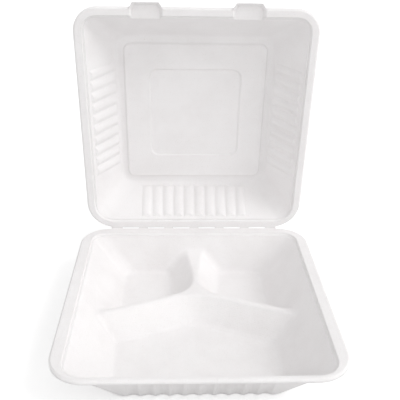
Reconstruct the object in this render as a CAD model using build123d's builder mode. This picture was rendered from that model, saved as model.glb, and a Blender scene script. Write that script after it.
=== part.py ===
from build123d import *
from collections import namedtuple
from math import cos, radians, sin, sqrt, tan
import os

# The moulded sheet, and the gap that keeps the two halves apart at the fold and when shut
WALL = 0.8
RIM_GAP = 0.3

# The lid's angle from shut, as it stands at rest
OPEN_ANGLE = 86.0

# Tray: rim outline, overall height and flange
TRAY_WIDTH = 228.0
TRAY_LENGTH = 225.0
TRAY_HEIGHT = 41.0
TRAY_NEAR_CORNER = 26.5
TRAY_FAR_CORNER = 29.0
TRAY_FLANGE = 10.0
TRAY_FRONT_FLANGE = 4.0

# Tray: the hollow's floor, with its edges given as distances from the fold
TRAY_FLOOR_WIDTH = 142.0
TRAY_FLOOR_NEAR = 24.5
TRAY_FLOOR_FAR = 197.5
TRAY_FLOOR_BLEND = 6.0
POCKET_CORNER = 8.0

# Lid: rim outline, overall depth and flange
LID_WIDTH = 218.0
LID_LENGTH = 225.0
LID_DEPTH = 38.5
LID_NEAR_CORNER = 28.0
LID_FAR_CORNER = 22.0
LID_FLANGE = 7.2

# Lid: the hollow's floor, with a raised panel that has a sunk field in its middle
LID_FLOOR_WIDTH = 150.0
LID_FLOOR_NEAR = 34.5
LID_FLOOR_FAR = 191.0
LID_FLOOR_BLEND = 4.0
PANEL_WIDTH = 136.0
PANEL_LENGTH = 140.0
PANEL_CORNER = 6.5
FIELD_WIDTH = 90.0
FIELD_LENGTH = 93.0
FIELD_CORNER = 9.0
PANEL_STEP = 1.4
PANEL_SLOPE = 45.0

# How far the underside is eased where its walls meet its floors
UNDERSIDE_EASE = 1.3

# The turned-down edge of both rims, and the shallow seat inside both flanges
RIM_EASE = 1.5
RIM_DROP = 3.4
SEAT_DEPTH = 2.2
SEAT_LEAN = 0.8
SEAT_LEDGE = 1.6

# Dividers: one bent ridge across the tray, and one from its point to the wall by the fold
RIDGE_HEIGHT = 21.0
RIDGE_TOP = 5.0
RIDGE_SLOPE = 41.0
RIDGE_CREST_BLEND = 4.5
RIDGE_BEND = 40.0
RIDGE_FLARE = 0.14
RIDGE_FLARE_START = 58.0
RIDGE_FLARE_BEND = 60.0
RIDGE_APEX = 86.0
RIDGE_BACKSWEEP = 0.39

# Flutes pressed into the walls
FLUTE_COUNT = 10
FLUTE_DEPTH = 1.7
FLUTE_SHARE = 0.86
FLUTE_START = 3.0
LID_FLUTE_END = 4.0
FLUTE_RAMP = 1.2
TRAY_FLUTE_PITCH = 11.5
LID_FLUTE_PITCH = 11.0

# The fold: the flat joined strip, and the slots cut along it
FOLD_WIDTH = 172.0
FOLD_STRIP = 5.0
SLOT_COUNT = 6
SLOT_PITCH = 26.4
SLOT_LENGTH = 16.8
SLOT_WIDTH = 1.4

# Lock tabs at the lid's front edge
TAB_SPACING = 90.0
TAB_BASE = 29.0
TAB_TIP = 22.0
TAB_REACH = 4.6
TAB_DEPTH = 3.2
TAB_SLOPE = 35.0

os.makedirs("parts", exist_ok=True)

# A plan outline: its width, its edges nearest the fold and furthest from it, and their corner radii
Plan = namedtuple("Plan", "width near far near_corner far_corner", defaults=(0, 0))

# Each half is drawn from the fold: x along it, y away from it, z the depth behind the rim's face
face_depth = RIM_GAP / 2
seat_depth = face_depth + SEAT_DEPTH


def drawn(plan):
    """The plan as a sketch."""
    with BuildSketch() as outline:
        with Locations((0, plan.near)):
            Rectangle(plan.width, plan.far - plan.near, align=(Align.CENTER, Align.MIN))
        fillet(outline.vertices().group_by(Axis.Y)[0], plan.near_corner)
        fillet(outline.vertices().group_by(Axis.Y)[-1], plan.far_corner)
    return outline.sketch


def inset(plan, by, far_by=None):
    """The plan with its edges moved in, and the one furthest from the fold by its own distance if given."""
    return Plan(plan.width - 2 * by, plan.near + by, plan.far - (by if far_by is None else far_by),
                plan.near_corner - by, plan.far_corner - by)


def wedge(mouth_low, mouth_high, floor_low, floor_high, mouth_depth, floor_depth, grow):
    """A section through a tapered space, grown on all sides."""
    with BuildSketch() as section:
        with BuildLine():
            Polyline((mouth_low, mouth_depth), (floor_low, floor_depth), (floor_high, floor_depth),
                     (mouth_high, mouth_depth), close=True)
        make_face()
        if grow:
            offset(amount=grow, kind=Kind.INTERSECTION)
    return section.sketch


def corner_edges(space):
    """The slanted edges of a tapered space, those nearest the fold first."""
    levels = space.faces().group_by(Axis.Z)
    return (space.edges() - levels[0].edges() - levels[-1].edges()).sort_by(Axis.Y)


def tapered(mouth_depth, floor_depth, mouth, floor, grow):
    """The flat-walled space between a wide mouth and a smaller floor, grown on all sides but the mouth."""
    with BuildPart() as space:
        with BuildSketch(Plane.XZ):
            add(wedge(-mouth.width / 2, mouth.width / 2, -floor.width / 2, floor.width / 2,
                      mouth_depth, floor_depth, grow))
        extrude(amount=2 * mouth.far, both=True)
        with BuildSketch(Plane.YZ):
            add(wedge(mouth.near, mouth.far, floor.near, floor.far, mouth_depth, floor_depth, grow))
        extrude(amount=mouth.width, both=True, mode=Mode.INTERSECT)
        if grow:
            split(bisect_by=Plane.XY.offset(mouth_depth), keep=Keep.TOP)
        fillet(corner_edges(space)[:2], mouth.near_corner + grow)
        fillet(corner_edges(space)[-2:], mouth.far_corner + grow)
    return space.part


def rim_block(start_depth, plan, ease):
    """A slab as deep as the rim's edge, its face edges eased."""
    with BuildPart() as block:
        with BuildSketch(Plane.XY.offset(start_depth)):
            add(drawn(plan))
        extrude(amount=face_depth + RIM_DROP - start_depth)
        chamfer(block.faces().sort_by(Axis.Z)[0].edges(), ease)
    return block.part


def rim_sheet(rim):
    """The flange with its turned-down edge, closed in the middle and flat along the fold."""
    with BuildPart() as sheet:
        add(rim_block(face_depth, rim, RIM_EASE))
        inner_ease = RIM_EASE - WALL * (2 - sqrt(2))
        add(rim_block(face_depth + WALL, inset(rim, WALL), inner_ease), mode=Mode.SUBTRACT)
        with BuildSketch(Plane.XY.offset(face_depth)):
            Rectangle(FOLD_WIDTH, FOLD_STRIP, align=(Align.CENTER, Align.MIN))
        extrude(amount=RIM_DROP, mode=Mode.SUBTRACT)
        with BuildSketch(Plane.XY.offset(face_depth)):
            with Locations((0, rim.near)):
                Rectangle(FOLD_WIDTH, FOLD_STRIP, align=(Align.CENTER, Align.MIN))
        extrude(amount=WALL)
    return sheet.part


def fold_slots():
    """The row of slots along the fold, as the cutters that each half loses its side of."""
    with BuildPart() as slots:
        with BuildSketch():
            with GridLocations(SLOT_PITCH, 0, SLOT_COUNT, 1):
                SlotOverall(SLOT_LENGTH, SLOT_WIDTH)
        extrude(amount=face_depth + 2 * WALL)
    return slots.part


def flute_row(pitch, end, grow):
    """A row of round-backed ribs with sloped ends: x across the wall, y into the hollow, z down the wall."""
    half = FLUTE_SHARE * pitch / 2
    radius = (half**2 + FLUTE_DEPTH**2) / (2 * FLUTE_DEPTH)
    ease = grow * sqrt(1 + FLUTE_RAMP**2)
    with BuildPart() as row:
        with BuildSketch():
            with GridLocations(pitch, 0, FLUTE_COUNT, 1):
                with Locations((0, FLUTE_DEPTH - radius)):
                    Circle(radius - grow)
        extrude(amount=end)
        split(bisect_by=Plane(origin=(0, 0, FLUTE_START + ease), z_dir=(0, -FLUTE_RAMP, 1)), keep=Keep.TOP)
        split(bisect_by=Plane(origin=(0, 0, end - ease), z_dir=(0, -FLUTE_RAMP, -1)), keep=Keep.TOP)
    return row.part


def divider_ridges(grow):
    """The ridges between the compartments, standing up from the floor to their rounded crests."""
    spread = RIDGE_HEIGHT * tan(radians(RIDGE_SLOPE))
    shrink = grow * tan(radians(45 - RIDGE_SLOPE / 2))
    half_foot = RIDGE_TOP / 2 + spread - shrink
    reach = TRAY_WIDTH / 2 + spread
    wing_end = RIDGE_APEX + reach * RIDGE_BACKSWEEP
    across = half_foot * sqrt(1 + RIDGE_BACKSWEEP**2)
    half_root = half_foot + RIDGE_FLARE * (RIDGE_FLARE_START + spread)
    with BuildPart() as ridges:
        with BuildSketch() as feet:
            with BuildLine():
                Polyline((-reach, wing_end), (0, RIDGE_APEX), (reach, wing_end))
                offset(amount=half_foot, side=Side.BOTH)
            make_face()
            with BuildLine():
                Polyline((-half_root, -spread), (-half_foot, RIDGE_FLARE_START), (-half_foot, RIDGE_APEX),
                         (half_foot, RIDGE_APEX), (half_foot, RIDGE_FLARE_START), (half_root, -spread),
                         close=True)
            make_face()
            fillet(feet.vertices().sort_by_distance((0, RIDGE_APEX + across))[0], RIDGE_BEND + shrink)
            for side in (-1, 1):
                pocket = (side * half_foot, RIDGE_APEX + half_foot * RIDGE_BACKSWEEP - across)
                fillet(feet.vertices().sort_by_distance(pocket)[0], POCKET_CORNER + shrink)
                flare = (side * half_foot, RIDGE_FLARE_START)
                fillet(feet.vertices().sort_by_distance(flare)[0], RIDGE_FLARE_BEND + shrink)
        extrude(amount=RIDGE_HEIGHT, taper=RIDGE_SLOPE)
        fillet(ridges.faces().sort_by(Axis.Z)[-1].edges(), RIDGE_CREST_BLEND - grow)
    return ridges.part.mirror(Plane.XY).moved(Location((0, 0, tray_floor_depth + grow)))


# Tray: plans from the rim down to the floor
tray_rim = Plan(TRAY_WIDTH, RIM_GAP / 2, TRAY_LENGTH, TRAY_NEAR_CORNER, TRAY_FAR_CORNER)
tray_seat_top = inset(tray_rim, TRAY_FLANGE, TRAY_FRONT_FLANGE)
tray_seat_floor = inset(tray_seat_top, SEAT_LEAN)
tray_mouth = inset(tray_seat_floor, SEAT_LEDGE)
tray_floor = Plan(TRAY_FLOOR_WIDTH, TRAY_FLOOR_NEAR, TRAY_FLOOR_FAR)
tray_floor_depth = TRAY_HEIGHT - WALL


def tray_form(grow):
    """The food space: the seat, and the tapered hollow less its dividers and front flutes."""
    with BuildPart() as form:
        add(tapered(seat_depth, tray_floor_depth, tray_mouth, tray_floor, grow))
        add(divider_ridges(grow), mode=Mode.SUBTRACT)
        if grow:
            chamfer(form.faces().group_by(Axis.Z)[-1].edges(), UNDERSIDE_EASE)
        else:
            fillet(form.edges(Select.NEW) - form.faces().group_by(Axis.Z)[-1].edges(), POCKET_CORNER)
            fillet(form.faces().group_by(Axis.Z)[-1].edges(), TRAY_FLOOR_BLEND)
        drop = tray_floor_depth - seat_depth
        front_wall = Plane(origin=(0, tray_mouth.far, seat_depth), x_dir=(-1, 0, 0),
                           z_dir=(0, tray_floor.far - tray_mouth.far, drop))
        with Locations(front_wall):
            add(flute_row(TRAY_FLUTE_PITCH, 2 * drop, grow), mode=Mode.SUBTRACT)
        add(tapered(face_depth, seat_depth, tray_seat_top, tray_seat_floor, grow))
    return form.part


with BuildPart() as tray_half:
    add(rim_sheet(tray_rim))
    add(tray_form(WALL))
    add(tray_form(0), mode=Mode.SUBTRACT)
    add(fold_slots(), mode=Mode.SUBTRACT)

with BuildPart() as tray:
    with Locations(Plane(origin=(0, TRAY_LENGTH / 2, TRAY_HEIGHT), x_dir=(1, 0, 0), z_dir=(0, 0, -1))):
        add(tray_half.part)
tray.part.label = "tray"
export_step(tray.part, "parts/tray.step")

# Lid: plans from the rim down to the floor
lid_rim = Plan(LID_WIDTH, RIM_GAP / 2, LID_LENGTH, LID_NEAR_CORNER, LID_FAR_CORNER)
lid_seat_top = inset(lid_rim, LID_FLANGE)
lid_seat_floor = inset(lid_seat_top, SEAT_LEAN)
lid_mouth = inset(lid_seat_floor, SEAT_LEDGE)
lid_floor = Plan(LID_FLOOR_WIDTH, LID_FLOOR_NEAR, LID_FLOOR_FAR)
lid_floor_depth = LID_DEPTH - WALL
lid_floor_middle = (LID_FLOOR_NEAR + LID_FLOOR_FAR) / 2


def lid_panel(grow):
    """The panel that stands in from the lid's floor, with the sunk field in its middle."""
    shrink = grow * tan(radians(45 - PANEL_SLOPE / 2))
    spread = PANEL_STEP * tan(radians(PANEL_SLOPE)) - shrink
    with BuildPart() as block:
        with BuildSketch():
            with Locations((0, lid_floor_middle)):
                RectangleRounded(PANEL_WIDTH + 2 * spread, PANEL_LENGTH + 2 * spread, PANEL_CORNER + spread)
        extrude(amount=PANEL_STEP, taper=PANEL_SLOPE)
    with BuildPart() as panel:
        add(block.part.mirror(Plane.XY).moved(Location((0, 0, lid_floor_depth + grow))))
        with BuildSketch(Plane.XY.offset(lid_floor_depth - PANEL_STEP + grow)):
            with Locations((0, lid_floor_middle)):
                RectangleRounded(FIELD_WIDTH + 2 * shrink, FIELD_LENGTH + 2 * shrink, FIELD_CORNER + shrink)
        extrude(amount=PANEL_STEP, taper=PANEL_SLOPE, mode=Mode.SUBTRACT)
    return panel.part


def lock_tab(grow):
    """The trough of one lock tab, open to the hollow and running out past the rim."""
    inner = lid_mouth.far - TAB_BASE / 2
    tip = LID_LENGTH + TAB_REACH - WALL
    with BuildPart() as trough:
        with BuildSketch(Plane.XY.offset(face_depth)):
            with BuildLine():
                Polyline((-TAB_BASE / 2, inner), (-TAB_BASE / 2, LID_LENGTH - RIM_EASE), (-TAB_TIP / 2, tip),
                         (TAB_TIP / 2, tip), (TAB_BASE / 2, LID_LENGTH - RIM_EASE), (TAB_BASE / 2, inner),
                         close=True)
            make_face()
            offset(amount=grow, kind=Kind.INTERSECTION)
        extrude(amount=TAB_DEPTH + grow, taper=TAB_SLOPE)
    return trough.part


def lid_form(grow):
    """The lid's space: the seat, the tapered hollow less its panel and flutes, and the tabs."""
    drop = lid_floor_depth - seat_depth
    lean = (lid_mouth.width - LID_FLOOR_WIDTH) / 2
    wall_length = sqrt(lean**2 + drop**2)
    fold_wall = Plane(origin=(0, lid_mouth.near, seat_depth), x_dir=(1, 0, 0),
                      z_dir=(0, lid_floor.near - lid_mouth.near, drop))
    right_wall = Plane(origin=(lid_mouth.width / 2, lid_floor_middle, seat_depth),
                       x_dir=(0, 1, 0), z_dir=(-lean, 0, drop))
    left_wall = Plane(origin=(-lid_mouth.width / 2, lid_floor_middle, seat_depth),
                      x_dir=(0, -1, 0), z_dir=(lean, 0, drop))
    with BuildPart() as form:
        add(tapered(seat_depth, lid_floor_depth, lid_mouth, lid_floor, grow))
        if grow:
            chamfer(form.faces().sort_by(Axis.Z)[-1].edges(), UNDERSIDE_EASE)
        else:
            fillet(form.faces().sort_by(Axis.Z)[-1].edges(), LID_FLOOR_BLEND)
        add(lid_panel(grow), mode=Mode.SUBTRACT)
        with Locations(fold_wall, right_wall, left_wall):
            add(flute_row(LID_FLUTE_PITCH, wall_length - LID_FLUTE_END, grow), mode=Mode.SUBTRACT)
        add(tapered(face_depth, seat_depth, lid_seat_top, lid_seat_floor, grow))
        with GridLocations(TAB_SPACING, 0, 2, 1):
            add(lock_tab(grow))
    return form.part


with BuildPart() as lid_half:
    add(rim_sheet(lid_rim))
    add(lid_form(WALL))
    add(lid_form(0), mode=Mode.SUBTRACT)
    add(fold_slots(), mode=Mode.SUBTRACT)

with BuildPart() as lid:
    with Locations(Plane(origin=(0, TRAY_LENGTH / 2, TRAY_HEIGHT), x_dir=(-1, 0, 0),
                         z_dir=(0, sin(radians(OPEN_ANGLE)), cos(radians(OPEN_ANGLE))))):
        add(lid_half.part)
lid.part.label = "lid"
export_step(lid.part, "parts/lid.step")
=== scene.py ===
import math
import bpy
import numpy as np
from mathutils import Matrix, Vector


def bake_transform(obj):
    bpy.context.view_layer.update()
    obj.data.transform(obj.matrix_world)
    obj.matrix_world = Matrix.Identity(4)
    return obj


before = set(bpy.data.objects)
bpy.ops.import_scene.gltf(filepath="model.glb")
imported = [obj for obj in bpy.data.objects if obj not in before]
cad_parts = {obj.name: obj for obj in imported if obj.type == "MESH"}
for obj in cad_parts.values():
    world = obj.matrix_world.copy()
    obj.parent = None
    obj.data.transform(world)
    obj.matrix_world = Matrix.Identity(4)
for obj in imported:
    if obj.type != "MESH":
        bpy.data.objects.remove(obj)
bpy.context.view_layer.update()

# Tray.
# The deep half with three food compartments: one sheet of plant fibre, drained on a wire screen and pressed.
# It keeps its solid and takes a matt warm white with fine fibres, faint clouding, flecks and screen marks.
FIBRE_WHITE = (0.888, 0.872, 0.873, 1.0)
FIBRE_CLOUD = (0.848, 0.829, 0.829, 1.0)
FIBRE_FLECK = (0.66, 0.61, 0.56, 1.0)
CLOUD_RANGE = (0.42, 0.72)
FLECK_RANGE = (0.64, 0.80)
ROUGHNESS_RANGE = (0.72, 0.9)
FLECK_SCALE = 1900.0
FIBRE_SCALE = 900.0
FIBRE_RELIEF = 0.7
FIBRE_HEIGHT = 0.0006
SCREEN_HEIGHT = 0.0005
EDGE_SOFTNESS = 0.0011
SPECULAR, SHEEN, SHEEN_ROUGHNESS = 0.28, 0.12, 0.6

# A Mix node's two colour inputs, and its colour output
COLOUR_A, COLOUR_B, COLOUR_OUT = 6, 7, 2


def shader_node(tree, kind, **values):
    """A shader node of that kind, with its named settings and inputs filled in."""
    node = tree.nodes.new(kind)
    for key, value in values.items():
        if hasattr(node, key) and key not in node.inputs:
            setattr(node, key, value)
        else:
            node.inputs[key].default_value = value
    return node


def remapped(tree, value, name, low, high):
    """A value stretched straight from 0..1: name is the end, From or To, that runs from low to high."""
    stretch = tree.nodes.new("ShaderNodeMapRange")
    stretch.inputs[name + " Min"].default_value = low
    stretch.inputs[name + " Max"].default_value = high
    tree.links.new(value, stretch.inputs["Value"])
    return stretch.outputs["Result"]


def moulded_fibre(name, screen_pitch, screen_relief, cloud_scale):
    """Pressed fibre: colour is white mixed with clouds, then flecks; height is fibres plus the screen."""
    material = bpy.data.materials.new(name)
    material.use_nodes = True
    tree = material.node_tree
    link = tree.links.new
    surface = tree.nodes["Principled BSDF"]
    place = tree.nodes.new("ShaderNodeTexCoord").outputs["Object"]

    clouds = shader_node(tree, "ShaderNodeTexNoise", Scale=cloud_scale, Detail=4.0, Roughness=0.6)
    link(place, clouds.inputs["Vector"])
    cloudy = shader_node(tree, "ShaderNodeMix", data_type="RGBA")
    cloudy.inputs[COLOUR_A].default_value = FIBRE_WHITE
    cloudy.inputs[COLOUR_B].default_value = FIBRE_CLOUD
    link(remapped(tree, clouds.outputs["Fac"], "From", *CLOUD_RANGE), cloudy.inputs["Factor"])

    flecks = shader_node(tree, "ShaderNodeTexNoise", Scale=FLECK_SCALE, Detail=2.0, Roughness=0.5)
    link(place, flecks.inputs["Vector"])
    flecked = shader_node(tree, "ShaderNodeMix", data_type="RGBA")
    flecked.inputs[COLOUR_B].default_value = FIBRE_FLECK
    link(cloudy.outputs[COLOUR_OUT], flecked.inputs[COLOUR_A])
    link(remapped(tree, flecks.outputs["Fac"], "From", *FLECK_RANGE), flecked.inputs["Factor"])
    link(flecked.outputs[COLOUR_OUT], surface.inputs["Base Color"])

    fibres = shader_node(tree, "ShaderNodeTexNoise", Scale=FIBRE_SCALE, Detail=5.0, Roughness=0.7,
                         Distortion=1.5)
    link(place, fibres.inputs["Vector"])
    soft_edges = shader_node(tree, "ShaderNodeBevel", samples=8, Radius=EDGE_SOFTNESS)
    fibre_bump = shader_node(tree, "ShaderNodeBump", Strength=FIBRE_RELIEF, Distance=FIBRE_HEIGHT)
    link(soft_edges.outputs["Normal"], fibre_bump.inputs["Normal"])
    link(fibres.outputs["Fac"], fibre_bump.inputs["Height"])

    screen = shader_node(tree, "ShaderNodeTexVoronoi", Scale=1.0 / screen_pitch, Randomness=0.35)
    link(place, screen.inputs["Vector"])
    screen_bump = shader_node(tree, "ShaderNodeBump", Strength=screen_relief, Distance=SCREEN_HEIGHT)
    link(screen.outputs["Distance"], screen_bump.inputs["Height"])
    link(fibre_bump.outputs["Normal"], screen_bump.inputs["Normal"])
    link(screen_bump.outputs["Normal"], surface.inputs["Normal"])

    link(remapped(tree, fibres.outputs["Fac"], "To", *ROUGHNESS_RANGE), surface.inputs["Roughness"])
    surface.inputs["Specular IOR Level"].default_value = SPECULAR
    surface.inputs["Sheen Weight"].default_value = SHEEN
    surface.inputs["Sheen Roughness"].default_value = SHEEN_ROUGHNESS
    return material


tray_fibre = moulded_fibre("tray_fibre", screen_pitch=0.0011, screen_relief=0.45, cloud_scale=28.0)
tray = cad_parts["tray"]
tray.data.materials.clear()
tray.data.materials.append(tray_fibre)

# Lid.
# The shallow half with its raised panel and lock tabs, pressed from the same sheet as the tray.
# It keeps its solid. Its screen marks are drawn a little finer and shallower than the tray's.
lid_fibre = moulded_fibre("lid_fibre", screen_pitch=0.0009, screen_relief=0.38, cloud_scale=24.0)
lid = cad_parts["lid"]
lid.data.materials.clear()
lid.data.materials.append(lid_fibre)

# Fold.
# Between the slots the sheet runs on from the tray to the lid as seven short webs, bent to the open lid's
# angle.
# Each web is a strip a little thinner than the sheet, with its ends tucked inside the two halves.
FOLD_Y, FOLD_Z = 0.1125, 0.041
HALF_GAP = 0.00015
SKIN = 0.00003
WEB_THICKNESS = 0.00074
WEB_TUCK = 0.0009
SLOTS, SLOT_PITCH, SLOT_LENGTH, FOLD_WIDTH = 6, 0.0264, 0.0168, 0.172
OPEN_TURN = math.radians(86)


def fold_web(low, high, across=13, along=8):
    """A bent strip: an arc between two straight tails, drawn at two radii and carried along x."""
    turn = np.linspace(-math.pi / 2, OPEN_TURN - math.pi / 2, across)
    tail_out = np.array([math.cos(turn[-1] + math.pi / 2), math.sin(turn[-1] + math.pi / 2)])
    inner_radius = 2 * HALF_GAP + SKIN
    profile = []
    for radius in (inner_radius, inner_radius + WEB_THICKNESS):
        arc = np.stack([np.cos(turn), np.sin(turn)], 1) * radius
        side = np.concatenate(([arc[0] - (WEB_TUCK, 0)], arc, [arc[-1] + WEB_TUCK * tail_out]))
        profile.append(side + (FOLD_Y - HALF_GAP, FOLD_Z + HALF_GAP))
    ring = np.concatenate((profile[0], profile[1][::-1]))
    count = len(ring)
    stations = np.repeat(np.linspace(low, high, along), count)[:, None]
    points = np.concatenate((stations, np.tile(ring, (along, 1))), 1)
    step, corner = np.meshgrid(np.arange(along - 1) * count, np.arange(count), indexing="ij")
    beside = (corner + 1) % count
    walls = np.stack([step + corner, step + count + corner, step + count + beside, step + beside], -1)
    inner = np.arange(count // 2 - 1)
    cap = np.stack([inner, inner + 1, count - 2 - inner, count - 1 - inner], 1)
    far_cap = cap[:, ::-1] + (along - 1) * count
    return points, np.concatenate((walls.reshape(-1, 4), cap, far_cap))


slot_middles = (np.arange(SLOTS) - (SLOTS - 1) / 2) * SLOT_PITCH
web_lows = np.concatenate(([-FOLD_WIDTH / 2], slot_middles + SLOT_LENGTH / 2))
web_highs = np.concatenate((slot_middles - SLOT_LENGTH / 2, [FOLD_WIDTH / 2]))
webs = [fold_web(low, high) for low, high in zip(web_lows, web_highs)]
web_points = np.concatenate([points for points, _ in webs])
web_faces = np.concatenate([faces + n * len(webs[0][0]) for n, (_, faces) in enumerate(webs)])
web_mesh = bpy.data.meshes.new("fold_webs")
web_mesh.from_pydata(web_points.tolist(), [], web_faces.tolist())
web_mesh.materials.append(lid_fibre)
fold_webs = bpy.data.objects.new("fold_webs", web_mesh)
bpy.context.scene.collection.objects.link(fold_webs)
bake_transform(fold_webs)

# Floor.
# A plain pale floor, wide enough to fill the view.
# It shows lighter to the camera than the light that it gives the box, so it stays as white as a paper sweep.
FLOOR_SIZE = 12.0
FLOOR_GREY = 0.78
FLOOR_ROUGHNESS = 0.9
FLOOR_GLOW = 0.38


def seen_by_camera(tree, elsewhere, seen):
    """A strength that is one value for the camera's own rays and another for all other light."""
    ray = tree.nodes.new("ShaderNodeLightPath")
    return remapped(tree, ray.outputs["Is Camera Ray"], "To", elsewhere, seen)


floor_corners = np.array([(-1, -1, 0), (1, -1, 0), (1, 1, 0), (-1, 1, 0)]) * FLOOR_SIZE / 2
floor_mesh = bpy.data.meshes.new("floor")
floor_mesh.from_pydata(floor_corners.tolist(), [], [(0, 1, 2, 3)])
floor_paint = bpy.data.materials.new("floor_paint")
floor_paint.use_nodes = True
floor_tree = floor_paint.node_tree
floor_surface = floor_tree.nodes["Principled BSDF"]
floor_surface.inputs["Base Color"].default_value = (FLOOR_GREY, FLOOR_GREY, FLOOR_GREY, 1)
floor_surface.inputs["Roughness"].default_value = FLOOR_ROUGHNESS
floor_surface.inputs["Emission Color"].default_value = (1, 1, 1, 1)
floor_tree.links.new(seen_by_camera(floor_tree, 0.0, FLOOR_GLOW), floor_surface.inputs["Emission Strength"])
floor_mesh.materials.append(floor_paint)
floor = bpy.data.objects.new("floor", floor_mesh)
bpy.context.scene.collection.objects.link(floor)

# Studio light.
# A wide soft key from the right, weak fills, and an even pale surround.
# The surround shows as white to the camera, as the floor does.
SURROUND, SURROUND_SEEN = 0.745, 1.0
world = bpy.data.worlds.new("studio")
bpy.context.scene.world = world
world.use_nodes = True
surround = world.node_tree.nodes["Background"]
surround.inputs["Color"].default_value = (1, 1, 1, 1)
surround_strength = seen_by_camera(world.node_tree, SURROUND, SURROUND_SEEN)
world.node_tree.links.new(surround_strength, surround.inputs["Strength"])


def soft_light(name, comes_from, strength, spread):
    """Even light from far away: parallel but for its spread in degrees, so the floor is lit evenly."""
    lamp = bpy.data.lights.new(name, "SUN")
    lamp.energy = strength
    lamp.angle = math.radians(spread)
    holder = bpy.data.objects.new(name, lamp)
    bpy.context.scene.collection.objects.link(holder)
    holder.rotation_euler = (-Vector(comes_from)).to_track_quat("-Z", "Y").to_euler()


soft_light("key", comes_from=(1.0, -0.5, 1.04), strength=0.90, spread=26)
soft_light("right", comes_from=(1.5, 0.2, 0.9), strength=0.38, spread=30)
soft_light("low_front", comes_from=(1.0, -1.2, 0.35), strength=0.36, spread=30)
soft_light("fill", comes_from=(-0.9, -0.8, 0.94), strength=0.20, spread=40)
bpy.context.scene.view_settings.view_transform = "Standard"

# Camera.
# The photograph's place and lens: a little left of centre, looking down 26 degrees.
CAMERA_PLACE = (-0.01774, -0.44289, 0.34873)
CAMERA_LENS, CAMERA_SENSOR = 54.473, 36.0
CAMERA_DOWN, CAMERA_TURN, CAMERA_ROLL = math.radians(26.34), math.radians(2.42), math.radians(1.11)
camera_data = bpy.data.cameras.new("camera")
camera_data.sensor_width = CAMERA_SENSOR
camera_data.lens = CAMERA_LENS
camera = bpy.data.objects.new("camera", camera_data)
bpy.context.scene.collection.objects.link(camera)
ahead = Vector((math.sin(CAMERA_TURN) * math.cos(CAMERA_DOWN), math.cos(CAMERA_TURN) * math.cos(CAMERA_DOWN),
                -math.sin(CAMERA_DOWN)))
right = Vector((math.cos(CAMERA_TURN), -math.sin(CAMERA_TURN), 0))
over = right.cross(ahead)
rolled_right = math.cos(CAMERA_ROLL) * right + math.sin(CAMERA_ROLL) * over
rolled_over = math.cos(CAMERA_ROLL) * over - math.sin(CAMERA_ROLL) * right
turned = Matrix((rolled_right, rolled_over, -ahead)).transposed()
camera.matrix_world = Matrix.Translation(CAMERA_PLACE) @ turned.to_4x4()
bpy.context.scene.camera = camera
